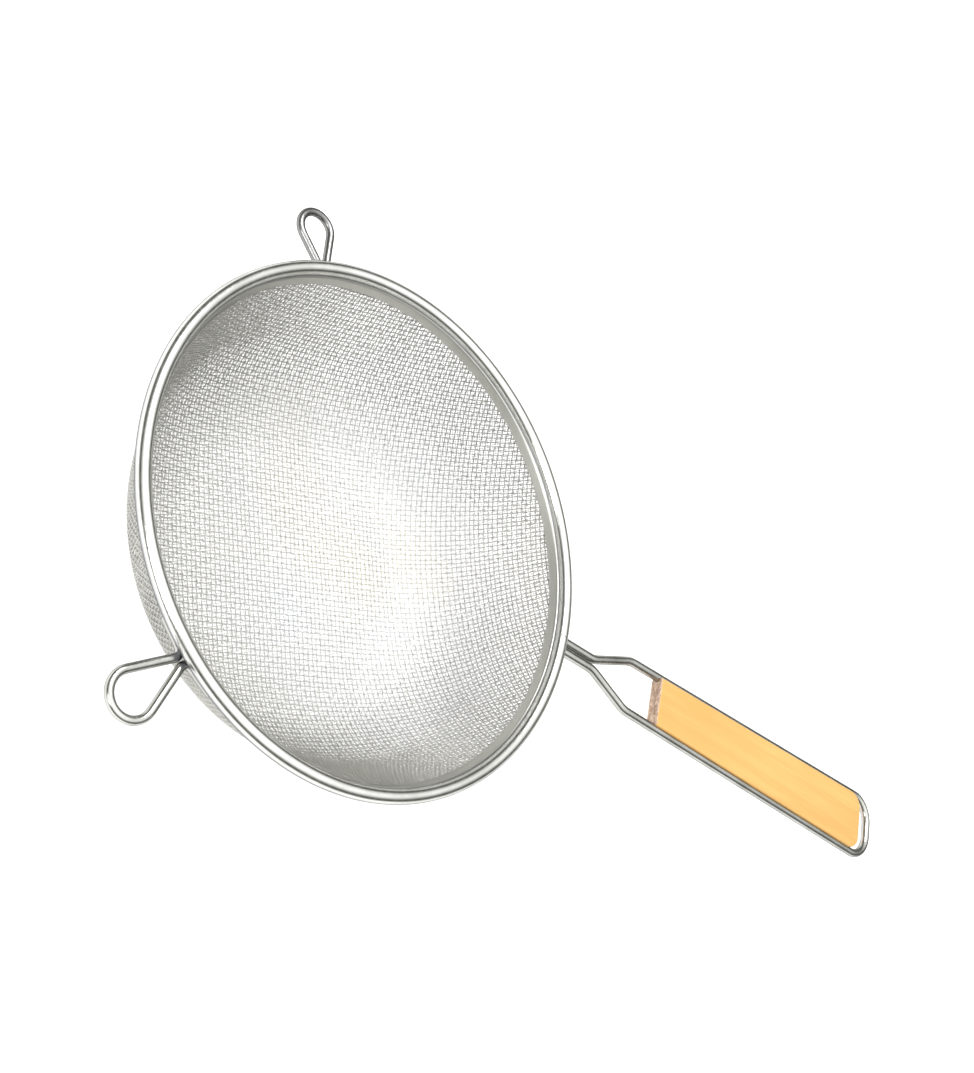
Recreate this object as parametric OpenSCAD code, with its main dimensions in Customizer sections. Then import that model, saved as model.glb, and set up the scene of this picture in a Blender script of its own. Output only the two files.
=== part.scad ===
// Double sieve strainer: two nested wire-mesh bowls clamped in a rolled rim, two wire
// loops to sit it across a bucket, and a bent wire handle round a wooden grip.
// Millimetres. The origin is the middle of the flat bowl bottom, on the table,
// +Z goes up out of the bowl and +X runs along the handle.

/* [Rim] */
// Outside diameter of the rim
rim_d = 200; // [150:1:205]
// Height of the rim bead's middle above the table
rim_h = 56; // [46:1:75]
// Diameter of the rolled bead
bead_d = 5.6; // [5:0.1:6]
// Thickness of the rim sheet
sheet_t = 0.5; // [0.4:0.05:0.6]
// Length of the two flanges below the bead's middle, along the wall
flange_l = 5.8; // [5.4:0.1:9]

/* [Bowl] */
// Lean of the bowl wall from upright, in degrees
wall_lean = 22; // [15:1:30]
// Inside radius where the wall rolls into the bottom
corner_r = 40; // [20:1:42]
// Thickness of the fine inner mesh layer
fine_t = 0.5; // [0.4:0.05:0.6]
// Thickness of the coarse outer mesh layer
coarse_t = 0.9; // [0.7:0.05:1]

/* [Handle] */
// Diameter of the handle wire
handle_wire_d = 3.8; // [3.2:0.1:4.1]
// Distance from the bowl's axis to the far end of the handle
handle_reach = 315; // [313:1:340]
// Half the distance between the two wires where they leave the rim
root_y = 2.1; // [1.95:0.05:3]
// Distance from the bowl's axis to where the wires start to spread
spread_x = 121; // [114:1:126]
// Distance from the bowl's axis to where the spread ends
spread_end_x = 142; // [136:1:148]
// Length of each foot along the rim, in degrees round the rim
handle_foot_deg = 9; // [5:1:14]

/* [Grip] */
// Distance from the bowl's axis to the rim end of the grip
grip_x = 159.5; // [154:0.5:162]
// Length of the grip
grip_l = 144.5; // [110:0.5:145]
// Width of the grip at its rim end
grip_w_near = 21.5; // [18:0.5:26]
// Width of the grip at its far end
grip_w_far = 27; // [22:0.5:29]
// Thickness of the grip
grip_t = 6; // [5.4:0.2:12]
// Radius of the grip's rounded corners
grip_corner_r = 7; // [1:0.5:8]

/* [Hooks] */
// Diameter of the hook wire
hook_wire_d = 3.2; // [2.6:0.1:3.3]
// Angle of the rear hook round the rim, away from the handle
rear_hook_deg = 119; // [100:1:140]
// Angle of the front hook round the rim, away from the handle
front_hook_deg = 126; // [100:1:140]
// Radius from the bowl's axis to the tip of the rear hook
rear_hook_reach = 123; // [118:1:140]
// Radius from the bowl's axis to the tip of the front hook
front_hook_reach = 130; // [121:1:140]
// Outside width of the rear hook's loop
rear_hook_w = 17; // [14:0.5:20]
// Outside width of the front hook's loop
front_hook_w = 19.5; // [14:0.5:20]
// Length of each foot along the rim, in degrees round the rim
hook_foot_deg = 6; // [4:1:10]

/* [Hidden] */
$fn = 96;
// Facets round a wire, and along its curves
wire_fn = 24;
curve_fn = 180;
// Touching pieces of one part run into each other by this much, one of them a hair thinner
joint_run = 0.15;
joint_thin = 0.03;
// Play round the hoop wire, above the clamped mesh, beside a nested wire and in the groove
hoop_gap = 0.05;
mesh_gap = 0.05;
nest_gap = 0.03;
groove_gap = 0.03;
steel = "silver";
dull_steel = "lightgray";
pale_wood = "burlywood";

bead_r = bead_d / 2;
bead_pos = rim_d / 2 - bead_r;
hoop_r = bead_r - sheet_t - hoop_gap;
lean_s = sin(wall_lean);
lean_c = cos(wall_lean);
// The mesh is held from just under the bead down to the flanges' edges
mesh_top = bead_r + mesh_gap;
// Where the outer flange leaves the bead, below its middle
flange_root = bead_r * 0.8;
// Offsets across the wall, measured outward from the bead's middle
fine_in = -bead_r + sheet_t;
coarse_in = fine_in + fine_t;
coarse_out = coarse_in + coarse_t;
// Middle of the corner's arc, shared by both mesh layers
bowl_t = fine_t + coarse_t;
arc_z = corner_r + bowl_t;
arc_r = bead_pos + (fine_in - corner_r + (arc_z - rim_h) * lean_s) / lean_c;
// Length of the leaning wall, from level with the bead's middle to the corner
wall_len = (bead_pos - arc_r) * lean_s + (rim_h - arc_z) * lean_c;

// A point beside the wall: down is along the wall, out is across it
function wall_pt(down, out) =
    [bead_pos - down * lean_s + out * lean_c, rim_h - down * lean_c - out * lean_s];

// A strip of the rim sheet beside the wall
module wall_strip(down_a, down_b, out_a, out_b) {
    polygon([wall_pt(down_a, out_a), wall_pt(down_b, out_a),
             wall_pt(down_b, out_b), wall_pt(down_a, out_b)]);
}

// Half section of a thin bowl shell between two offsets from the bead's middle:
// the leaning wall, the rolled corner and the flat bottom
module shell_section(out_a, out_b) {
    r_a = corner_r + out_a - fine_in;
    r_b = corner_r + out_b - fine_in;
    more = joint_run / r_b * 180 / PI;
    far = 2 * r_b;
    wall_strip(mesh_top, wall_len, out_a, out_b);
    translate([0, arc_z - r_b]) square([arc_r, r_b - r_a]);
    translate([arc_r, arc_z]) intersection() {
        difference() {
            circle(r_b - joint_thin / 2);
            circle(r_a + joint_thin / 2);
        }
        polygon([[0, 0], [-far * sin(more), -far * cos(more)], [far, -far],
                 [far * cos(wall_lean - more), -far * sin(wall_lean - more)]]);
    }
}

module mesh_shell(out_a, out_b) {
    rotate_extrude() shell_section(out_a, out_b);
}

module rim_band() {
    color(steel)
    rotate_extrude() {
        difference() {
            union() {
                translate([bead_pos, rim_h]) circle(bead_r);
                wall_strip(0, flange_l, fine_in - sheet_t, fine_in);
                wall_strip(flange_root, flange_l, coarse_out, coarse_out + sheet_t);
            }
            translate([bead_pos, rim_h]) circle(hoop_r + hoop_gap);
        }
    }
}

module rim_hoop_wire() {
    color(steel)
    rotate_extrude() translate([bead_pos, rim_h]) circle(hoop_r);
}

module fine_inner_mesh() {
    color(dull_steel) mesh_shell(fine_in, coarse_in);
}

module coarse_outer_mesh() {
    color(dull_steel) mesh_shell(coarse_in, coarse_out);
}

// A straight piece of wire between two points of the flat
module wire_line(a, b, d) {
    run = b - a;
    translate([a[0], a[1], 0]) rotate([0, 0, atan2(run[1], run[0])])
        rotate([0, 90, 0]) cylinder(d = d, h = norm(run), $fn = wire_fn);
}

// A curved piece of wire about a point of the flat
module wire_arc(c, r, from, sweep, d) {
    translate([c[0], c[1], 0]) rotate([0, 0, from])
        rotate_extrude(angle = sweep, $fn = curve_fn)
            translate([r, 0]) circle(d = d, $fn = wire_fn);
}

// A bend between two other pieces: a hair thinner, and run a little way into each
module wire_joint_arc(c, r, from, sweep, d) {
    more = joint_run / r * 180 / PI;
    wire_arc(c, r, from - more, sweep + 2 * more, d - joint_thin);
}

// How far out and down a wire lies when it nests under the bead against the flange
function nest_out(d) = coarse_out + sheet_t + d / 2;
function nest_down(d) =
    sqrt(pow(bead_r + d / 2 + nest_gap, 2) - pow(nest_out(d), 2));
function nest_pt(d) = wall_pt(nest_down(d), nest_out(d));

// A wire end turned along the rim: the foot and the bend that leads out of it
module wire_foot(d, bend_r, line_y, foot_deg) {
    ring_r = nest_pt(d)[0];
    cy = line_y + bend_r;
    cx = sqrt(pow(ring_r + bend_r, 2) - cy * cy);
    psi = atan2(cy, cx);
    wire_arc([0, 0], ring_r, psi, foot_deg, d);
    wire_joint_arc([cx, cy], bend_r, 180 + psi, 90 - psi, d);
}

// Radii of the handle wire's bends: out of its feet, at the spread and at the far end
handle_bend = 4;
spread_r = 12;
end_r = 11;
// How far outside the grip's edge the middle of the wire lies
wire_in = 0.6;
handle_z = nest_pt(handle_wire_d)[1];
end_x = handle_reach - handle_wire_d / 2;
// The sides of the wire lie in grooves along the grip's edges
side_y_near = grip_w_near / 2 + wire_in;
side_y_far = grip_w_far / 2 + wire_in;
taper = atan2(side_y_far - side_y_near, grip_l);
function side_y(x) = side_y_near + (x - grip_x) * tan(taper);
root_x = sqrt(pow(nest_pt(handle_wire_d)[0] + handle_bend, 2) - pow(root_y + handle_bend, 2));
// Corners of the handle's path before its bends are rounded, and the bends' radii
half_pts = [[root_x, root_y], [spread_x, root_y],
            [spread_end_x, side_y(spread_end_x)], [end_x, side_y(end_x)]];
handle_pts = concat(half_pts, [for (i = [3:-1:0]) [half_pts[i][0], -half_pts[i][1]]]);
handle_radii = [0, spread_r, spread_r, end_r, end_r, spread_r, spread_r, 0];

function unit(v) = v / norm(v);
function turn_deg(p, i) =
    let (u = unit(p[i] - p[i - 1]), v = unit(p[i + 1] - p[i]))
        atan2(u[0] * v[1] - u[1] * v[0], u * v);
// How much of each straight a bend uses up
function bend_cut(p, radii, i) =
    radii[i] == 0 ? 0 : radii[i] * tan(abs(turn_deg(p, i)) / 2);

// A wire bent round the corners of a path
module bent_wire(p, radii, d) {
    for (i = [0:len(p) - 2]) {
        u = unit(p[i + 1] - p[i]);
        wire_line(p[i] + u * bend_cut(p, radii, i),
                  p[i + 1] - u * bend_cut(p, radii, i + 1), d);
    }
    for (i = [1:len(p) - 2]) {
        u = unit(p[i] - p[i - 1]);
        turn = turn_deg(p, i);
        left = [-u[1], u[0]] * sign(turn);
        from = atan2(-left[1], -left[0]);
        wire_joint_arc(p[i] - u * bend_cut(p, radii, i) + left * radii[i],
                       radii[i], from + min(turn, 0), abs(turn), d);
    }
}

module handle_loop(d) {
    translate([0, 0, handle_z]) bent_wire(handle_pts, handle_radii, d);
}

module handle_wire() {
    color(steel) {
        handle_loop(handle_wire_d);
        for (s = [0, 1]) {
            translate([0, 0, handle_z]) mirror([0, s, 0])
                wire_foot(handle_wire_d, handle_bend, root_y, handle_foot_deg);
        }
    }
}

// The grip's outline seen from above, with rounded corners
module grip_outline() {
    r = grip_corner_r;
    x_far = grip_x + grip_l;
    polygon([[grip_x, -grip_w_near / 2], [x_far - r, -grip_w_far / 2],
             [x_far, -grip_w_far / 2 + r], [x_far, grip_w_far / 2 - r],
             [x_far - r, grip_w_far / 2], [grip_x, grip_w_near / 2]]);
    for (s = [-1, 1]) {
        translate([x_far - r, s * (grip_w_far / 2 - r)]) circle(r);
    }
}

module wooden_grip() {
    color(pale_wood)
    difference() {
        translate([0, 0, handle_z - grip_t / 2])
            linear_extrude(height = grip_t) grip_outline();
        handle_loop(handle_wire_d + 2 * groove_gap);
    }
}

// Bend out of a hook's feet, and half the distance between its legs at the rim
hook_bend = 3;
hook_root_y = hook_wire_d / 2 + 0.1;

// A teardrop loop of wire with its two ends turned along the rim
module rim_hook(deg, reach, loop_w) {
    d = hook_wire_d;
    loop_r = (loop_w - d) / 2;
    loop_x = reach - d / 2 - loop_r;
    ring_r = nest_pt(d)[0];
    fy = hook_root_y + hook_bend;
    fx = sqrt(pow(ring_r + hook_bend, 2) - fy * fy);
    psi = atan2(fy, fx);
    gap = norm([loop_x - fx, fy]);
    leg_deg = atan2(-fy, loop_x - fx) + asin((hook_bend + loop_r) / gap);
    across = [-sin(leg_deg), cos(leg_deg)];
    color(steel)
    rotate([0, 0, deg]) translate([0, 0, nest_pt(d)[1]]) {
        wire_joint_arc([loop_x, 0], loop_r, -90 - leg_deg, 180 + 2 * leg_deg, d);
        for (s = [0, 1]) {
            mirror([0, s, 0]) {
                wire_arc([0, 0], ring_r, psi, hook_foot_deg, d);
                wire_joint_arc([fx, fy], hook_bend, 180 + psi, 90 + leg_deg - psi, d);
                wire_line([fx, fy] - across * hook_bend, [loop_x, 0] + across * loop_r, d);
            }
        }
    }
}

module rear_hook() {
    rim_hook(rear_hook_deg, rear_hook_reach, rear_hook_w);
}

module front_hook() {
    rim_hook(-front_hook_deg, front_hook_reach, front_hook_w);
}

rim_band();
rim_hoop_wire();
fine_inner_mesh();
coarse_outer_mesh();
handle_wire();
wooden_grip();
rear_hook();
front_hook();
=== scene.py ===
import math

import bpy
import numpy as np
from mathutils import Matrix, Vector

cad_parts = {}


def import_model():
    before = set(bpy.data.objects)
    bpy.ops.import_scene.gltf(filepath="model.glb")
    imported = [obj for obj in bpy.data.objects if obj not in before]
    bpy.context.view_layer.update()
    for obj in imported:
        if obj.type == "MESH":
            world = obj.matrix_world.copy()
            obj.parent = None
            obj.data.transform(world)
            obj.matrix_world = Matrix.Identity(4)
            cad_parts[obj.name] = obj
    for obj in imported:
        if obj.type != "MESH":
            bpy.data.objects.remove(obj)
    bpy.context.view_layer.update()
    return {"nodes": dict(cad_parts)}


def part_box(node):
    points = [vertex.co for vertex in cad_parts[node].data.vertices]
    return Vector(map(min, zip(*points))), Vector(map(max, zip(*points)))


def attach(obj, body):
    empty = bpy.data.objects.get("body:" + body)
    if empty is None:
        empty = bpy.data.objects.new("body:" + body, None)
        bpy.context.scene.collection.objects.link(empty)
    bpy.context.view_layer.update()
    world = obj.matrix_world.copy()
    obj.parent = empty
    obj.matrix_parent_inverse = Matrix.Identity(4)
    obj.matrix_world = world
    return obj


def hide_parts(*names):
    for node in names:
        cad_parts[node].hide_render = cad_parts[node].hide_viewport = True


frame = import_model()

# ---------------------------------------------------------------- sizes
# Metres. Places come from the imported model, and the constants down to HOOKS repeat the CAD's own.
MM = 0.001
_, rim_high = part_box("rim_band")
hoop_low, hoop_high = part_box("rim_hoop_wire")
handle_low, handle_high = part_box("handle_wire")
grip_low, grip_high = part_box("wooden_grip")
rear_low, rear_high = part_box("rear_hook")

RIM_Z = (hoop_low.z + hoop_high.z) / 2
BEAD_R = rim_high.z - RIM_Z
BEAD_POS = rim_high.x - BEAD_R
SHEET = 0.5 * MM
FLANGE_L = 5.8 * MM
LEAN = math.radians(22)
CORNER_R = 40 * MM
FINE_T = 0.5 * MM
COARSE_T = 0.9 * MM
# Play above the clamped cloth
MESH_GAP = 0.05 * MM
MESH_TOP = BEAD_R + MESH_GAP
FINE_IN = -BEAD_R + SHEET
COARSE_IN = FINE_IN + FINE_T
COARSE_OUT = COARSE_IN + COARSE_T
ARC_Z = CORNER_R + FINE_T + COARSE_T
ARC_R = BEAD_POS + (FINE_IN - CORNER_R + (ARC_Z - RIM_Z) * math.sin(LEAN)) / math.cos(LEAN)
WALL_L = (BEAD_POS - ARC_R) * math.sin(LEAN) + (RIM_Z - ARC_Z) * math.cos(LEAN)

HANDLE_D = handle_high.z - handle_low.z
HANDLE_Z = (handle_high.z + handle_low.z) / 2
END_X = handle_high.x - HANDLE_D / 2
ROOT_Y = 2.1 * MM
SPREAD_X = 121 * MM
SPREAD_END_X = 142 * MM
HANDLE_BEND = 4 * MM
SPREAD_R = 12 * MM
END_R = 11 * MM
HANDLE_FOOT = math.radians(9)
WIRE_IN = 0.6 * MM
# Play between the bead and a nested wire
NEST_GAP = 0.03 * MM

GRIP_NEAR_W = 21.5 * MM
GRIP_FAR_W = 27 * MM
GRIP_CORNER = 7 * MM

HOOK_D = rear_high.z - rear_low.z
HOOK_Z = (rear_high.z + rear_low.z) / 2
HOOK_BEND = 3 * MM
HOOK_LINE_Y = HOOK_D / 2 + 0.1 * MM
HOOK_FOOT = math.radians(6)
# Each hook's angle round the rim, reach from the axis and outside width
HOOKS = {"rear_hook": (math.radians(119), 123 * MM, 17 * MM),
         "front_hook": (math.radians(-126), 130 * MM, 19.5 * MM)}

# Woven cloth: the turn of the weave, and the spacing of the wires
COARSE_TURN = math.radians(20)
FINE_TURN = math.radians(32)
COARSE_PITCH = 2.05 * MM
FINE_PITCH = 1.15 * MM
COARSE_WIRE_R = 0.25 * MM
FINE_WIRE_R = 0.12 * MM
# How far the cloth wanders on the wall, and how often; how slowly its wires drift
CLOTH_DENT = 0.35 * MM
CLOTH_DENT_RUN = 9 * MM
WIRE_DRIFT_RUN = 31 * MM
# Unevenness of the folded band: its edges, its puckers and its sway
EDGE_WOBBLE = 0.12 * MM
PUCKER = 0.015 * MM
SWAY = 0.03 * MM
RIM_STEPS = 541
SEAM_ANGLE = 0.0
SEAM_WIDTH = 0.18 * MM
SEAM_DEPTH = 0.03
# Rounding of a cut wire end, and of the grip's long and end edges
WIRE_LIP = 0.35 * MM
GRIP_EDGE = 0.7 * MM
GRIP_END_EDGE = 0.6 * MM
FLOOR_SIZE = 40.0


# ---------------------------------------------------------------- mesh helpers
def mesh_object(name, points, faces, smooth=True):
    """An object from an N x 3 array of points and an M x 4 (or M x 3) array of corners."""
    mesh = bpy.data.meshes.new(name)
    sides = faces.shape[1]
    mesh.vertices.add(len(points))
    mesh.vertices.foreach_set("co", np.ascontiguousarray(points, np.float32).ravel())
    mesh.loops.add(faces.size)
    mesh.loops.foreach_set("vertex_index", np.ascontiguousarray(faces, np.int32).ravel())
    mesh.polygons.add(len(faces))
    mesh.polygons.foreach_set("loop_start", np.arange(0, faces.size, sides, dtype=np.int32))
    mesh.polygons.foreach_set("use_smooth", np.full(len(faces), smooth))
    mesh.update(calc_edges=True)
    mesh.validate()
    obj = bpy.data.objects.new(name, mesh)
    bpy.context.scene.collection.objects.link(obj)
    return obj


def ring_faces(rings, sides, closed_rings=False):
    """Quads that join rings of points, each ring having the same number of sides."""
    last = rings if closed_rings else rings - 1
    i = np.arange(last)[:, None]
    j = np.arange(sides)[None, :]
    a = i * sides + j
    b = i * sides + (j + 1) % sides
    up = ((i + 1) % rings) * sides
    return np.stack([a, b, up + (j + 1) % sides, up + j], -1).reshape(-1, 4)


def joined(parts):
    """Several (points, quads) pairs as one pair."""
    points, faces, start = [], [], 0
    for p, f in parts:
        points.append(p)
        faces.append(f + start)
        start += len(p)
    return np.concatenate(points), np.concatenate(faces)


def unit(v):
    return v / np.linalg.norm(v, axis=-1, keepdims=True)


def ripple(x, waves, seed):
    """A smooth repeatable wobble of about -1 to 1 along x, where x is in radians."""
    rng = np.random.default_rng(seed)
    total = np.zeros_like(x)
    for n in waves:
        total = total + rng.uniform(0.5, 1) * np.sin(n * x + rng.uniform(0, 2 * math.pi))
    return total / len(waves)


# ---------------------------------------------------------------- materials
def new_material(name):
    mat = bpy.data.materials.new(name)
    mat.use_nodes = True
    nodes, links = mat.node_tree.nodes, mat.node_tree.links
    return mat, nodes, links, nodes["Principled BSDF"]


def noise(nodes, links, scale, detail, stretch=(1, 1, 1), distortion=0.0):
    """Noise in the object's own coordinates, in cycles per metre."""
    coord = nodes.new("ShaderNodeTexCoord")
    mapping = nodes.new("ShaderNodeMapping")
    mapping.inputs["Scale"].default_value = stretch
    tex = nodes.new("ShaderNodeTexNoise")
    tex.inputs["Scale"].default_value = scale
    tex.inputs["Detail"].default_value = detail
    tex.inputs["Distortion"].default_value = distortion
    links.new(coord.outputs["Object"], mapping.inputs["Vector"])
    links.new(mapping.outputs["Vector"], tex.inputs["Vector"])
    return tex.outputs["Fac"]


def ramp(nodes, links, source, stops):
    """A colour ramp fed by source; stops are (position, grey or colour)."""
    node = nodes.new("ShaderNodeValToRGB")
    elements = node.color_ramp.elements
    while len(elements) < len(stops):
        elements.new(0.5)
    for element, (at, value) in zip(elements, stops):
        element.position = at
        colour = (value,) * 3 if isinstance(value, (int, float)) else value
        element.color = (*colour, 1)
    links.new(source, node.inputs["Fac"])
    return node.outputs["Color"]


def bump(nodes, links, shader, height, strength, distance):
    node = nodes.new("ShaderNodeBump")
    node.inputs["Strength"].default_value = strength
    node.inputs["Distance"].default_value = distance
    links.new(height, node.inputs["Height"])
    links.new(node.outputs["Normal"], shader.inputs["Normal"])


def steel(name, dark, light, rough, grain, grain_stretch, bump_strength, patches=90, limb=1.0):
    """Drawn or rolled steel: mottled tone, uneven polish and fine drawing lines."""
    mat, nodes, links, shader = new_material(name)
    shader.inputs["Metallic"].default_value = 1
    # How bright the metal turns at a glancing angle
    shader.inputs["Specular Tint"].default_value = (limb, limb, limb, 1)
    tone = noise(nodes, links, patches, 5)
    links.new(ramp(nodes, links, tone, [(0.3, dark), (0.7, light)]), shader.inputs["Base Color"])
    polish = noise(nodes, links, grain, 6, grain_stretch)
    links.new(ramp(nodes, links, polish, [(0.3, rough[0]), (0.7, rough[1])]),
              shader.inputs["Roughness"])
    bump(nodes, links, shader, polish, bump_strength, 0.05 * MM)
    return mat


def spread(nodes, links, source, start, end):
    """Nothing where source is at start, rising to one at end."""
    node = nodes.new("ShaderNodeMapRange")
    node.inputs["From Min"].default_value = start
    node.inputs["From Max"].default_value = end
    links.new(source, node.inputs["Value"])
    return node.outputs["Result"]


def distance_from(nodes, links, x, y, z, centre):
    """Distance of a place, given by its coordinates' sockets or None, from a centre."""
    place_at = nodes.new("ShaderNodeCombineXYZ")
    for socket, source in (("X", x), ("Y", y), ("Z", z)):
        if source is not None:
            links.new(source, place_at.inputs[socket])
    node = nodes.new("ShaderNodeVectorMath")
    node.operation = "DISTANCE"
    node.inputs[1].default_value = centre
    links.new(place_at.outputs["Vector"], node.inputs[0])
    return node.outputs["Value"]


def mix_colours(nodes, links, share, first, second):
    """Two colours, each a socket or a plain colour, mixed by a share."""
    node = nodes.new("ShaderNodeMixRGB")
    links.new(share, node.inputs["Fac"])
    for socket, value in (("Color1", first), ("Color2", second)):
        if isinstance(value, tuple):
            node.inputs[socket].default_value = (*value, 1)
        else:
            links.new(value, node.inputs[socket])
    return node.outputs["Color"]


def overlay(mat, share, tint, rough):
    """Lays another tint and roughness over a finish, by a share."""
    nodes, links = mat.node_tree.nodes, mat.node_tree.links
    shader = nodes["Principled BSDF"]
    for socket, value in (("Base Color", tint), ("Roughness", (rough, rough, rough))):
        under = shader.inputs[socket].links[0].from_socket
        links.new(mix_colours(nodes, links, share, under, value), shader.inputs[socket])


def place_axes(nodes, links):
    """The object's own X, Y and Z as sockets."""
    coord = nodes.new("ShaderNodeTexCoord")
    split = nodes.new("ShaderNodeSeparateXYZ")
    links.new(coord.outputs["Object"], split.inputs["Vector"])
    return split.outputs["X"], split.outputs["Y"], split.outputs["Z"]


def dull_and_shade_below(mat, top, bottom, radius, inner, outer, rough):
    """Dull from a height down, with one tint inside a radius and another outside it; the tint outside
    is painted shade.
    """
    nodes, links = mat.node_tree.nodes, mat.node_tree.links
    x, y, z = place_axes(nodes, links)
    reach = distance_from(nodes, links, x, y, None, (0, 0, 0))
    side = spread(nodes, links, reach, radius, radius + 0.2 * MM)
    tint = mix_colours(nodes, links, side, inner, outer)
    overlay(mat, spread(nodes, links, z, top, bottom), tint, rough)


def paint_light_pool(mat, centre, near, far, tint, rough):
    """Lays a darker tint and roughness over a finish away from a centre: a painted pool of light round
    the centre, painted shade away from it.
    """
    nodes, links = mat.node_tree.nodes, mat.node_tree.links
    x, y, z = place_axes(nodes, links)
    away = distance_from(nodes, links, x, y, z, centre)
    overlay(mat, spread(nodes, links, away, near, far), tint, rough)


def end_share(nodes, links):
    """One on the grip's sawn ends, nothing along it."""
    x, _, _ = place_axes(nodes, links)
    half = (grip_high.x - grip_low.x) / 2
    reach = distance_from(nodes, links, x, None, None, (grip_low.x + half, 0, 0))
    return spread(nodes, links, reach, half - 0.5 * MM, half - 0.2 * MM)


def wood(name):
    """Pale wood with grain along the grip and browner sawn ends."""
    mat, nodes, links, shader = new_material(name)
    streaks = noise(nodes, links, 260, 8, (0.05, 1, 0.5), 0.6)
    clouds = noise(nodes, links, 28, 4, (0.5, 1, 1))
    pores = noise(nodes, links, 1500, 4, (0.03, 1, 1))
    base = ramp(nodes, links, streaks, [(0.3, (0.72, 0.41, 0.122)), (0.5, (0.76, 0.45, 0.144)),
                                        (0.7, (0.81, 0.50, 0.17))])
    patch = ramp(nodes, links, clouds, [(0.35, (0.90, 0.82, 0.74)), (0.7, (1.0, 1.0, 1.0))])
    mix = nodes.new("ShaderNodeMixRGB")
    mix.blend_type = "MULTIPLY"
    mix.inputs["Fac"].default_value = 0.6
    links.new(base, mix.inputs["Color1"])
    links.new(patch, mix.inputs["Color2"])
    fibres = noise(nodes, links, 900, 5)
    sawn = ramp(nodes, links, fibres, [(0.35, (0.40, 0.26, 0.18)), (0.65, (0.72, 0.53, 0.40))])
    links.new(mix_colours(nodes, links, end_share(nodes, links), mix.outputs["Color"], sawn),
              shader.inputs["Base Color"])
    links.new(ramp(nodes, links, pores, [(0.3, 0.62), (0.7, 0.45)]), shader.inputs["Roughness"])
    bump(nodes, links, shader, pores, 0.35, 0.1 * MM)
    return mat


rim_steel = steel("rolled_rim_steel", (0.70, 0.70, 0.66), (0.84, 0.84, 0.81),
                  rough=(0.12, 0.24), grain=500, grain_stretch=(1, 1, 4), bump_strength=0.12,
                  limb=0.25)
# Below the bead's middle the inner flange turns a duller matte grey, and the outer side is painted
# dark: painted shade along the bead's outer edge and the outer flange
dull_and_shade_below(rim_steel, top=RIM_Z + 0.35 * BEAD_R, bottom=RIM_Z - 0.35 * BEAD_R,
           radius=BEAD_POS - 3 * MM, inner=(0.62, 0.62, 0.58), outer=(0.26, 0.265, 0.29), rough=0.38)
wire_steel = steel("drawn_wire_steel", (0.42, 0.42, 0.39), (0.62, 0.62, 0.59),
                   rough=(0.14, 0.28), grain=900, grain_stretch=(1, 1, 1), bump_strength=0.2,
                   limb=0.25)
# A darker copy of the drawn wire steel, used for the rear hook alone: painted shade
shaded_wire_steel = steel("shaded_wire_steel", (0.20, 0.205, 0.20), (0.32, 0.32, 0.315),
                        rough=(0.22, 0.36), grain=900, grain_stretch=(1, 1, 1), bump_strength=0.2,
                        limb=0.25)
coarse_steel = steel("coarse_cloth_steel", (0.68, 0.65, 0.58), (0.70, 0.71, 0.74),
                     rough=(0.16, 0.30), grain=1400, grain_stretch=(1, 1, 1), bump_strength=0.2,
                     patches=14)
fine_steel = steel("fine_cloth_steel", (0.80, 0.78, 0.72), (0.82, 0.83, 0.86),
                   rough=(0.18, 0.34), grain=1800, grain_stretch=(1, 1, 1), bump_strength=0.2,
                   patches=14)
# The cloth is painted brightest round one spot on the bottom and darker and rougher away from it: a
# painted pool of light, with painted shade round it
for cloth in (coarse_steel, fine_steel):
    paint_light_pool(cloth, centre=(38 * MM, 18 * MM, 0), near=26 * MM, far=88 * MM,
              tint=(0.57, 0.565, 0.535), rough=0.32)
grip_wood = wood("pale_grip_wood")


def place(obj, material, node):
    """Gives a piece its finish and lets it stand for its CAD node."""
    obj.data.materials.append(material)
    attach(obj, "root")
    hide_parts(node)
    return obj


# ---------------------------------------------------------------- woven bowls
def bowl_surface(rho, theta, out):
    """Points and outward normals of the bowl, rho along its surface from the axis.

    out is the offset across the wall from the bead's middle."""
    arc_radius = CORNER_R + out - FINE_IN
    arc_len = arc_radius * (math.pi / 2 - LEAN)
    turned = np.clip((rho - ARC_R) / arc_radius, 0, math.pi / 2 - LEAN)
    along = np.clip(rho - ARC_R - arc_len, 0, None)
    angle = turned - math.pi / 2
    r = np.minimum(rho, ARC_R) + arc_radius * np.cos(angle) + along * math.sin(LEAN)
    z = ARC_Z + arc_radius * np.sin(angle) + along * math.cos(LEAN)
    c, s = np.cos(theta), np.sin(theta)
    normal = np.stack([np.cos(angle) * c, np.cos(angle) * s, np.sin(angle)], -1)
    # The cloth isn't quite round: it wanders a little on the wall
    wall = np.clip((rho - ARC_R) / (0.3 * ARC_R), 0, 1)
    held = np.clip((ARC_R + arc_len + WALL_L - MESH_TOP - rho) / (0.2 * ARC_R), 0, 1)
    dent = CLOTH_DENT * wall * held * ripple(theta, (2, 3, 5), 4) * np.sin(rho / CLOTH_DENT_RUN)
    points = np.stack([r * c, r * s, z], -1) + normal * dent[..., None]
    return points, normal


def cloth_reach(out):
    """Length along the bowl's surface from its middle to the clamped edge."""
    arc_radius = CORNER_R + out - FINE_IN
    return ARC_R + arc_radius * (math.pi / 2 - LEAN) + WALL_L - MESH_TOP


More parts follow.
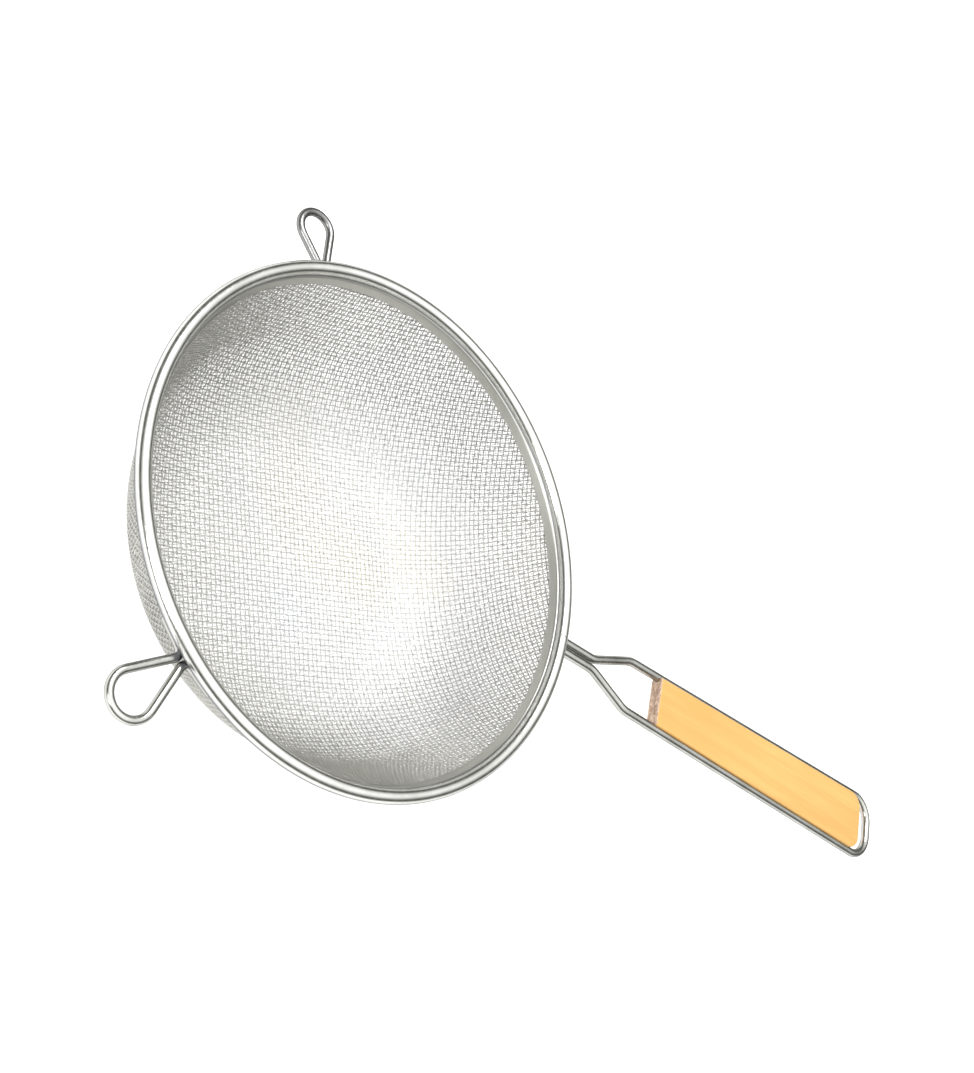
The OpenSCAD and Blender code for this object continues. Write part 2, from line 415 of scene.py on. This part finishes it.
def cloth_wires(out, pitch, wire_r, turn, family, wires, sides):
    """Points and quads of some parallel wires of one layer, crimped over and under."""
    reach = cloth_reach(out)
    parts = []
    around = np.arange(sides) * 2 * math.pi / sides
    for k in wires:
        u = (k + 0.5) * pitch
        half = math.sqrt(max(reach * reach - u * u, 0))
        steps = int(half / (pitch / 2))
        if steps < 3:
            continue
        j = np.arange(-steps, steps + 1)
        t = j * pitch / 2
        # A slow drift keeps the wires from being ruler-straight
        slow = 0.12 * pitch * np.sin(t / WIRE_DRIFT_RUN + 0.37 * k)
        drift = slow + 0.06 * pitch * math.sin(1.7 * k)
        if family == 0:
            x, y, crimp = u + drift, t, 1
        else:
            x, y, crimp = t, u + drift, -1
        theta = np.arctan2(y, x) + turn
        rho = np.hypot(x, y)
        surface, normal = bowl_surface(rho, theta, out)
        wave = np.cos(math.pi * (t / pitch - 0.5) + math.pi * k) * crimp
        centre = surface + normal * (wire_r * wave)[:, None]
        tangent = unit(np.gradient(centre, axis=0))
        side = unit(np.cross(tangent, normal))
        top = np.cross(side, tangent)
        ring = (centre[:, None, :]
                + wire_r * np.cos(around)[None, :, None] * side[:, None, :]
                + wire_r * np.sin(around)[None, :, None] * top[:, None, :])
        parts.append((ring.reshape(-1, 3), ring_faces(len(centre), sides)))
    return joined(parts)


def woven_layer(label, node, material, out, pitch, wire_r, turn, sides, pieces):
    """One layer of cloth: warp and weft wires, each family in a few pieces."""
    count = int(cloth_reach(out) / pitch)
    for family, word in enumerate(("warp", "weft")):
        edges = np.linspace(-1, 1, pieces + 1)
        # Wires are longest in the middle, so the middle pieces hold fewer of them
        share = np.sign(edges) * np.abs(edges) ** 1.25
        bounds = np.round(share * count).astype(int)
        bounds[-1] += 1
        for n in range(pieces):
            wires = range(bounds[n] - (1 if n == 0 else 0), bounds[n + 1])
            points, faces = cloth_wires(out, pitch, wire_r, turn, family, wires, sides)
            obj = mesh_object(f"{label}_{word}_{n + 1}", points, faces)
            place(obj, material, node)


# ---------------------------------------------------------------- rim
def wall_point(down, out):
    """Radius and height beside the wall, from the bead's middle."""
    return (BEAD_POS - down * math.sin(LEAN) + out * math.cos(LEAN),
            RIM_Z - down * math.cos(LEAN) - out * math.sin(LEAN))


def rim_section():
    """The folded sheet's outline as (down, out, flange share), closed."""
    pts = []
    # The bead, from its crease above the inner flange, over the top, to the outer flange
    crease = math.radians(34)
    leave = math.acos((COARSE_OUT + SHEET) / BEAD_R)
    for a in np.linspace(-crease, math.pi + leave, 40):
        pts.append((-BEAD_R * math.sin(a), -BEAD_R * math.cos(a), 0))
    # Outer flange down, round its edge and back up to the cloth's throat
    tip = SHEET / 2
    for down in np.linspace(BEAD_R * 1.05, FLANGE_L - tip, 5):
        pts.append((down, COARSE_OUT + SHEET, 1))
    for a in np.linspace(0, math.pi, 7)[1:-1]:
        pts.append((FLANGE_L - tip + tip * math.sin(a), COARSE_OUT + tip + tip * math.cos(a), 1))
    pts.append((FLANGE_L - tip, COARSE_OUT, 1))
    pts.append((BEAD_R, COARSE_OUT, 0))
    # Inner flange, with a slightly longer rolled edge
    pts.append((BEAD_R, FINE_IN, 0))
    pts.append((FLANGE_L - tip, FINE_IN, 1))
    for a in np.linspace(0, math.pi, 7)[1:-1]:
        pts.append((FLANGE_L - tip + tip * math.sin(a), FINE_IN - tip + tip * math.cos(a), 1))
    for down in np.linspace(FLANGE_L - tip, BEAD_R * 0.8, 6):
        pts.append((down, FINE_IN - SHEET, 1))
    pts.append((BEAD_R * 0.68, FINE_IN - 0.7 * SHEET, 0.5))
    return np.array(pts)


def rim_piece():
    section = rim_section()
    even = np.linspace(-math.pi, math.pi, RIM_STEPS)[:-1]
    close = SEAM_ANGLE + np.array([-4, -2, -1.2, -0.5, 0, 0.5, 1.2, 2, 4]) * 0.2 * MM / BEAD_POS
    theta = np.sort(np.concatenate([even, close]))
    down = np.repeat(section[None, :, 0], len(theta), 0)
    out = np.repeat(section[None, :, 1], len(theta), 0)
    share = np.repeat(section[None, :, 2], len(theta), 0)
    edge = EDGE_WOBBLE * ripple(theta, (3, 7, 13, 29), 8)[:, None]
    pucker = PUCKER * ripple(theta, (61, 83, 97), 9)[:, None]
    sway = SWAY * ripple(theta, (5, 9, 17), 10)[:, None]
    down = down + share * edge * (down / FLANGE_L)
    out = out + share * pucker + sway
    # The band's two ends meet in a fine butt joint
    gap = np.exp(-(((theta - SEAM_ANGLE) * BEAD_POS / SEAM_WIDTH) ** 2))[:, None]
    down = down * (1 - SEAM_DEPTH * gap)
    out = out * (1 - SEAM_DEPTH * gap)
    r = BEAD_POS - down * math.sin(LEAN) + out * math.cos(LEAN)
    z = RIM_Z - down * math.cos(LEAN) - out * math.sin(LEAN)
    points = np.stack([r * np.cos(theta)[:, None], r * np.sin(theta)[:, None], z], -1)
    faces = ring_faces(len(theta), len(section), closed_rings=True)[:, ::-1]
    obj = mesh_object("rim_band_rolled", points.reshape(-1, 3), faces)
    return place(obj, rim_steel, "rim_band")


# ---------------------------------------------------------------- bent wires
def nest_radius(d):
    """How far from the axis a wire lies when it nests under the bead against the flange."""
    out = COARSE_OUT + SHEET + d / 2
    down = math.sqrt((BEAD_R + d / 2 + NEST_GAP) ** 2 - out * out)
    return wall_point(down, out)[0]


def arc_points(centre, radius, start, sweep, step):
    count = max(int(abs(sweep) * radius / step), 6)
    a = start + np.linspace(0, sweep, count + 1)
    return np.stack([centre[0] + radius * np.cos(a), centre[1] + radius * np.sin(a)], -1)


def line_points(a, b, step):
    count = max(int(np.linalg.norm(np.subtract(b, a)) / step), 2)
    return np.linspace(a, b, count + 1)


def rounded_path(corners, radii, step):
    """A flat path round the given corners, each bend an arc of its own radius."""
    corners = np.array(corners, float)
    path, at = [], corners[0]
    for i in range(1, len(corners) - 1):
        u = unit(corners[i] - corners[i - 1])
        v = unit(corners[i + 1] - corners[i])
        turn = math.atan2(u[0] * v[1] - u[1] * v[0], u @ v)
        cut = radii[i] * math.tan(abs(turn) / 2)
        begin = corners[i] - u * cut
        left = np.array([-u[1], u[0]]) * math.copysign(1, turn)
        centre = begin + left * radii[i]
        path.append(line_points(at, begin, step)[:-1])
        start = math.atan2(-left[1], -left[0])
        path.append(arc_points(centre, radii[i], start, turn, step / 2)[:-1])
        at = corners[i] + v * cut
    path.append(line_points(at, corners[-1], step))
    return np.concatenate(path)


def foot_path(d, bend_r, line_y, foot, leg=0.0, step=0.5 * MM):
    """A foot along the rim and the bend out of it, ending where its leg starts."""
    ring = nest_radius(d)
    cy = line_y + bend_r
    cx = math.sqrt((ring + bend_r) ** 2 - cy * cy)
    psi = math.atan2(cy, cx)
    along = arc_points((0, 0), ring, psi + foot, -foot, step)
    bend = arc_points((cx, cy), bend_r, math.pi + psi, math.pi / 2 + leg - psi, step)
    return np.concatenate([along[:-1], bend]), (cx, cy)


def mirror_y(path):
    return path[::-1] * np.array([1, -1])


def wire_tube(path, d, height, sides=28, pressed=0.0, foot_len=0.0, seed=1):
    """A round wire along a flat path, pressed a little flat over its welded feet."""
    steps = np.linalg.norm(np.diff(path, axis=0), axis=1)
    travelled = np.concatenate([[0], np.cumsum(steps)])
    from_end = np.minimum(travelled, travelled[-1] - travelled)
    centre = np.column_stack([path, np.full(len(path), height)])
    tangent = unit(np.gradient(centre, axis=0))
    up = np.array([0, 0, 1.0])
    side = np.cross(tangent, up)
    around = np.arange(sides) * 2 * math.pi / sides
    radius = d / 2 * (1 + 0.008 * ripple(travelled / (7 * MM), (1, 2.3, 4.1), seed))
    # The cut ends have a small rounded edge
    trim = np.sqrt(np.clip(1 - (1 - np.clip(from_end / WIRE_LIP, 0, 1)) ** 2, 0.0, 1))
    radius = radius * (0.72 + 0.28 * trim)
    flat = pressed * np.clip((foot_len - from_end) / (0.25 * foot_len + 1e-9), 0, 1)
    ring = (centre[:, None, :]
            + (radius * (1 - flat))[:, None, None] * np.cos(around)[None, :, None] * side[:, None, :]
            + (radius * (1 + 0.5 * flat))[:, None, None] * np.sin(around)[None, :, None] * up)
    points = ring.reshape(-1, 3)
    faces = ring_faces(len(path), sides)
    ends = []
    for first, flip in ((0, 1), (len(path) - 1, -1)):
        middle = centre[first]
        cap_ring = ring[first]
        inner = middle + (cap_ring - middle) * 0.4
        cap = np.concatenate([cap_ring, inner, middle[None, :]])
        quads = ring_faces(2, sides)
        j = np.arange(sides)
        spokes = np.stack([sides + j, sides + (j + 1) % sides,
                           np.full(sides, 2 * sides), np.full(sides, 2 * sides)], -1)
        ends.append((cap, (quads[:, ::-1] if flip > 0 else quads), spokes[:, :3][:, ::flip]))
    return points, faces, ends


def tube_mesh(tube):
    """A tube's points, quads and triangles, with its wall and both ends together."""
    points, faces, ends = tube
    mesh_points, quads, tris, start = [points], [faces], [], len(points)
    for cap, cap_quads, cap_tris in ends:
        mesh_points.append(cap)
        quads.append(cap_quads + start)
        tris.append(cap_tris + start)
        start += len(cap)
    return np.concatenate(mesh_points), np.concatenate(quads), np.concatenate(tris)


def nugget(centre, along, out, long_r, wide_r, thick_r):
    """A small flattened weld nugget as points and quads."""
    across = np.cross(along, out)
    lat = np.linspace(-math.pi / 2 * 0.96, math.pi / 2 * 0.96, 9)
    lon = np.arange(16) * 2 * math.pi / 16
    c, s = np.cos(lat)[:, None], np.sin(lat)[:, None]
    local = np.stack([long_r * c * np.cos(lon), wide_r * c * np.sin(lon),
                      thick_r * s * np.ones_like(lon)], -1)
    points = centre + local[..., :1] * along + local[..., 1:2] * across + local[..., 2:] * out
    return points.reshape(-1, 3), ring_faces(9, 16)


def weld_nuggets(d, height, angles):
    """Nuggets in the corner between a foot and the outer flange, at these rim angles."""
    parts = []
    for a in angles:
        radial = np.array([math.cos(a), math.sin(a), 0])
        along = np.array([-math.sin(a), math.cos(a), 0])
        out = radial * math.cos(LEAN) - np.array([0, 0, 1]) * math.sin(LEAN)
        centre = radial * nest_radius(d) + np.array([0, 0, height]) - out * d * 0.47
        parts.append(nugget(centre, along, out, 0.75 * d, 0.42 * d, 0.2 * d))
    return parts


def wire_object(name, path, d, height, nuggets, pressed, foot_len, seed):
    tube = wire_tube(path, d, height, pressed=pressed, foot_len=foot_len, seed=seed)
    points, quads, tris = tube_mesh(tube)
    extra_points, extra_quads = joined(nuggets)
    quads = np.concatenate([quads, extra_quads + len(points)])
    points = np.concatenate([points, extra_points])
    mesh = bpy.data.meshes.new(name)
    mesh.from_pydata(points.tolist(), [], quads.tolist() + tris.tolist())
    mesh.polygons.foreach_set("use_smooth", np.full(len(mesh.polygons), True))
    mesh.update()
    obj = bpy.data.objects.new(name, mesh)
    bpy.context.scene.collection.objects.link(obj)
    return obj


def grip_side_y(x):
    near, far = GRIP_NEAR_W / 2 + WIRE_IN, GRIP_FAR_W / 2 + WIRE_IN
    return near + (x - grip_low.x) * (far - near) / (grip_high.x - grip_low.x)


def handle_piece():
    foot, (cx, _) = foot_path(HANDLE_D, HANDLE_BEND, ROOT_Y, HANDLE_FOOT)
    half = [(cx, ROOT_Y), (SPREAD_X, ROOT_Y), (SPREAD_END_X, grip_side_y(SPREAD_END_X)),
            (END_X, grip_side_y(END_X))]
    corners = half + [(x, -y) for x, y in reversed(half)]
    radii = [0, SPREAD_R, SPREAD_R, END_R, END_R, SPREAD_R, SPREAD_R, 0]
    loop = rounded_path(corners, radii, 1.2 * MM)
    path = np.concatenate([foot, loop[1:-1], mirror_y(foot)])
    ring = nest_radius(HANDLE_D)
    psi = math.atan2(ROOT_Y + HANDLE_BEND, cx)
    spots = [s * (psi + HANDLE_FOOT * share) for s in (-1, 1) for share in (0.3, 0.75)]
    obj = wire_object("handle_wire_bent", path, HANDLE_D, HANDLE_Z,
                      weld_nuggets(HANDLE_D, HANDLE_Z, spots),
                      pressed=0.10, foot_len=ring * HANDLE_FOOT, seed=21)
    return place(obj, wire_steel, "handle_wire")


def hook_piece(name, angle, reach, width, material):
    loop_r = (width - HOOK_D) / 2
    loop_x = reach - HOOK_D / 2 - loop_r
    ring = nest_radius(HOOK_D)
    fy = HOOK_LINE_Y + HOOK_BEND
    fx = math.sqrt((ring + HOOK_BEND) ** 2 - fy * fy)
    gap = math.hypot(loop_x - fx, fy)
    leg = math.atan2(-fy, loop_x - fx) + math.asin((HOOK_BEND + loop_r) / gap)
    foot, _ = foot_path(HOOK_D, HOOK_BEND, HOOK_LINE_Y, HOOK_FOOT, leg, 0.35 * MM)
    start = math.pi / 2 + leg
    loop = arc_points((loop_x, 0), loop_r, start, -2 * start, 0.35 * MM)
    leg_line = line_points(foot[-1], loop[0], 0.8 * MM)
    path = np.concatenate([foot, leg_line[1:-1], loop, mirror_y(leg_line)[1:-1], mirror_y(foot)])
    turn = np.array([[math.cos(angle), math.sin(angle)], [-math.sin(angle), math.cos(angle)]])
    psi = math.atan2(fy, fx)
    spots = [angle + s * (psi + HOOK_FOOT * 0.55) for s in (-1, 1)]
    obj = wire_object(f"{name}_loop", path @ turn, HOOK_D, HOOK_Z,
                      weld_nuggets(HOOK_D, HOOK_Z, spots),
                      pressed=0.12, foot_len=ring * HOOK_FOOT, seed=33)
    return place(obj, material, name)


# ---------------------------------------------------------------- grip
def grip_section(half_w, half_t):
    """The grip's section as (y, z) points: eased edges and a groove for the wire."""
    ease = GRIP_EDGE
    groove_r = HANDLE_D / 2 + 0.04 * MM
    mouth = math.sqrt(groove_r ** 2 - WIRE_IN ** 2)
    quarter = []
    reach = math.atan2(mouth, WIRE_IN)
    for a in np.linspace(0, reach, 5):
        quarter.append((half_w + WIRE_IN - groove_r * math.cos(a), groove_r * math.sin(a)))
    for z in np.linspace(mouth, half_t - ease, 4)[1:]:
        quarter.append((half_w, z))
    for a in np.linspace(0, math.pi / 2, 5)[1:]:
        quarter.append((half_w - ease + ease * math.cos(a), half_t - ease + ease * math.sin(a)))
    for y in np.linspace(half_w - ease, 0, 10)[1:]:
        quarter.append((y, half_t))
    q = np.array(quarter)
    top = np.concatenate([q, q[::-1][1:] * (-1, 1)])
    return np.concatenate([top, top[::-1][1:-1] * (1, -1)])


def grip_piece():
    x0, x1 = grip_low.x, grip_high.x
    half_t = (grip_high.z - grip_low.z) / 2
    mid_z = (grip_high.z + grip_low.z) / 2
    ease = GRIP_END_EDGE
    near = x0 + ease * (1 - np.cos(np.linspace(0, math.pi / 2, 5)))
    body = np.linspace(x0 + ease, x1 - GRIP_CORNER, 90)[1:]
    far = x1 - GRIP_CORNER * (1 - np.sin(np.linspace(0, math.pi / 2, 12)))[1:]
    stations = np.concatenate([near, body, far])
    rings = []
    for x in stations:
        half_w = GRIP_NEAR_W / 2 + (GRIP_FAR_W - GRIP_NEAR_W) / 2 * (x - x0) / (x1 - x0)
        inset = GRIP_CORNER - math.sqrt(max(GRIP_CORNER ** 2
                                            - max(x - (x1 - GRIP_CORNER), 0) ** 2, 0))
        into = max(x0 + ease - x, 0)
        shy = ease - math.sqrt(max(ease ** 2 - into ** 2, 0))
        into_far = max(x - (x1 - ease), 0)
        shy_far = ease - math.sqrt(max(ease ** 2 - into_far ** 2, 0))
        ring = grip_section(half_w - inset - shy * 0.4, half_t - shy * 0.6 - shy_far * 0.8)
        rings.append(np.column_stack([np.full(len(ring), x), ring]))
    rings = np.array(rings)
    # Slow unevenness of the broad faces
    span = (rings[:, :, 0] - x0) / (x1 - x0) * 2 * math.pi
    rings[:, :, 2] += 0.05 * MM * ripple(span, (2, 3, 7), 5) * np.sign(rings[:, :, 2])
    sides = rings.shape[1]
    parts = [(rings.reshape(-1, 3), ring_faces(len(rings), sides))]
    # Sawn ends: rings that close in towards the middle, rougher at the rim end
    for ring, rough, flip in ((rings[0], 0.35 * MM, True), (rings[-1], 0.08 * MM, False)):
        middle = ring.mean(0)
        steps = np.linspace(1, 0.02, 9)
        cap = np.array([middle + (ring - middle) * s for s in steps])
        spin = np.arange(sides) * 2 * math.pi / sides
        fall = (steps * (1 - steps) * 4)[:, None]
        grain = ripple(spin[None, :] * 3 + steps[:, None] * 9, (3, 7, 11, 19), 6)
        cap[:, :, 0] += rough * fall * grain
        quads = ring_faces(len(steps), sides)
        parts.append((cap.reshape(-1, 3), quads[:, ::-1] if flip else quads))
    points, faces = joined(parts)
    points[:, 2] += mid_z
    obj = mesh_object("wooden_grip_slab", points, faces)
    return place(obj, grip_wood, "wooden_grip")


# ---------------------------------------------------------------- build
coarse_out = COARSE_IN + COARSE_T / 2
fine_out = FINE_IN + FINE_T / 2
woven_layer("coarse_cloth", "coarse_outer_mesh", coarse_steel,
            coarse_out, COARSE_PITCH, COARSE_WIRE_R, COARSE_TURN, sides=6, pieces=3)
woven_layer("fine_cloth", "fine_inner_mesh", fine_steel,
            fine_out, FINE_PITCH, FINE_WIRE_R, FINE_TURN, sides=4, pieces=6)
rim_piece()
handle_piece()
grip_piece()
# The rear hook takes the darker copy of the wire steel, its painted shade
hook_piece("rear_hook", *HOOKS["rear_hook"], shaded_wire_steel)
hook_piece("front_hook", *HOOKS["front_hook"], wire_steel)
frame["nodes"]["rim_hoop_wire"].data.materials.clear()
frame["nodes"]["rim_hoop_wire"].data.materials.append(wire_steel)


# ---------------------------------------------------------------- floor, light and camera
def floor():
    size = FLOOR_SIZE
    points = np.array([(-size, -size, 0), (size, -size, 0), (size, size, 0), (-size, size, 0)])
    obj = mesh_object("studio_floor", points, np.array([[0, 1, 2, 3]]), smooth=False)
    mat, nodes, links, shader = new_material("pale_floor")
    grey = noise(nodes, links, 3, 3)
    links.new(ramp(nodes, links, grey, [(0.3, 0.50), (0.7, 0.54)]), shader.inputs["Base Color"])
    shader.inputs["Roughness"].default_value = 0.9
    # Its own glow keeps the shadows faint
    shader.inputs["Emission Color"].default_value = (1, 1, 1, 1)
    shader.inputs["Emission Strength"].default_value = 0.75
    obj.data.materials.append(mat)


def area_light(name, towards, distance, size, power, aim):
    data = bpy.data.lights.new(name, "AREA")
    data.shape = "DISK"
    data.size = size
    data.energy = power
    obj = bpy.data.objects.new(name, data)
    bpy.context.scene.collection.objects.link(obj)
    obj.location = aim + Vector(towards).normalized() * distance
    obj.rotation_euler = Vector(towards).to_track_quat("Z", "Y").to_euler()


def world():
    scene_world = bpy.data.worlds.new("studio_world")
    bpy.context.scene.world = scene_world
    scene_world.use_nodes = True
    nodes, links = scene_world.node_tree.nodes, scene_world.node_tree.links
    coord = nodes.new("ShaderNodeTexCoord")
    split = nodes.new("ShaderNodeSeparateXYZ")
    links.new(coord.outputs["Generated"], split.inputs["Vector"])
    tones = ramp(nodes, links, split.outputs["Z"],
                 [(0.0, (0.95, 0.95, 0.94)), (0.12, (0.42, 0.425, 0.41)), (0.3, (0.06, 0.065, 0.055)),
                  (0.52, (0.22, 0.22, 0.21)), (0.76, (1.2, 1.2, 1.2)), (1.0, (1.9, 1.9, 1.9))])
    links.new(tones, nodes["Background"].inputs["Color"])
    nodes["Background"].inputs["Strength"].default_value = 1.0


CAMERA_AZIMUTH = math.radians(-48.85)
CAMERA_ELEVATION = math.radians(43.0)
CAMERA_ROLL = math.radians(70.7)
CAMERA_AIM = Vector((50.5 * MM, 21.6 * MM, RIM_Z))
CAMERA_DISTANCE = 610.6 * MM
CAMERA_LENS = 53.5


def camera():
    data = bpy.data.cameras.new("camera")
    data.sensor_width = 36
    data.lens = CAMERA_LENS
    obj = bpy.data.objects.new("camera", data)
    bpy.context.scene.collection.objects.link(obj)
    back = Vector((math.sin(CAMERA_AZIMUTH) * math.cos(CAMERA_ELEVATION),
                   -math.cos(CAMERA_AZIMUTH) * math.cos(CAMERA_ELEVATION),
                   math.sin(CAMERA_ELEVATION)))
    level = (-back).to_track_quat("-Z", "Y").to_matrix()
    roll = Matrix.Rotation(CAMERA_ROLL, 3, "Z")
    obj.matrix_world = Matrix.Translation(CAMERA_AIM + back * CAMERA_DISTANCE) @ (level @ roll).to_4x4()
    data.clip_start = 0.01
    bpy.context.scene.camera = obj


floor()
world()
camera()
bowl_middle = Vector((0, 0, RIM_Z / 2))
area_light("key_light", towards=(-0.2, 0.5, 1.0), distance=1.2, size=0.7, power=9,
           aim=bowl_middle)
area_light("fill_light", towards=(-1.0, -0.7, 0.8), distance=1.3, size=0.5, power=5,
           aim=bowl_middle)
bpy.context.scene.view_settings.view_transform = "Standard"
